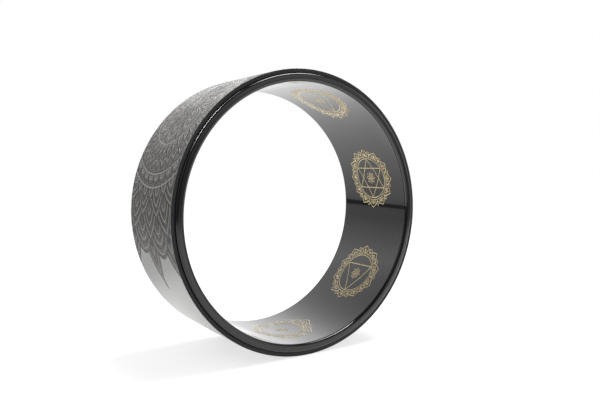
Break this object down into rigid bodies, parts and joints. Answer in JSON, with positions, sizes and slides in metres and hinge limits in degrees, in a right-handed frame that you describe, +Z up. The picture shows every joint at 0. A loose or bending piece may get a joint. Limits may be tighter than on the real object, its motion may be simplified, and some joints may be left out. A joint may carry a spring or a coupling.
{
  "type": "yoga wheel",
  "caption": "Yoga wheel standing on its tread: a thick black plastic hoop with bevelled rims, wrapped in a grey printed foam mat, with gold lotus emblems on its glossy bore.",
  "frame": {"origin": "centre of the wheel, on its axis halfway between the two rims", "axes": "+Y along the wheel's axis towards the back rim, +Z up as the wheel stands on its tread"},
  "size_m": [0.33, 0.13, 0.33],
  "materials": {
    "abs_black": "moulded black ABS, polished bore and satin rims",
    "bonding_film": "double-sided acrylic film",
    "foam_black": "closed-cell foam, knife-cut edges",
    "printed_polyurethane": "grey satin polyurethane with a darker grey line print",
    "gold_foil": "satin gold metallised foil"
  },
  "bodies": {
    "root": {"hoop": "abs_black", "bond_film": "bonding_film", "foam_pad": "foam_black", "printed_skin": "printed_polyurethane", "lotus_twelve_petals": "gold_foil", "lotus_ten_petals": "gold_foil", "lotus_six_petals": "gold_foil", "lotus_four_petals": "gold_foil", "lotus_twenty_petals": "gold_foil", "lotus_two_petals": "gold_foil", "lotus_sixteen_petals": "gold_foil"}
  },
  "joints": []
}
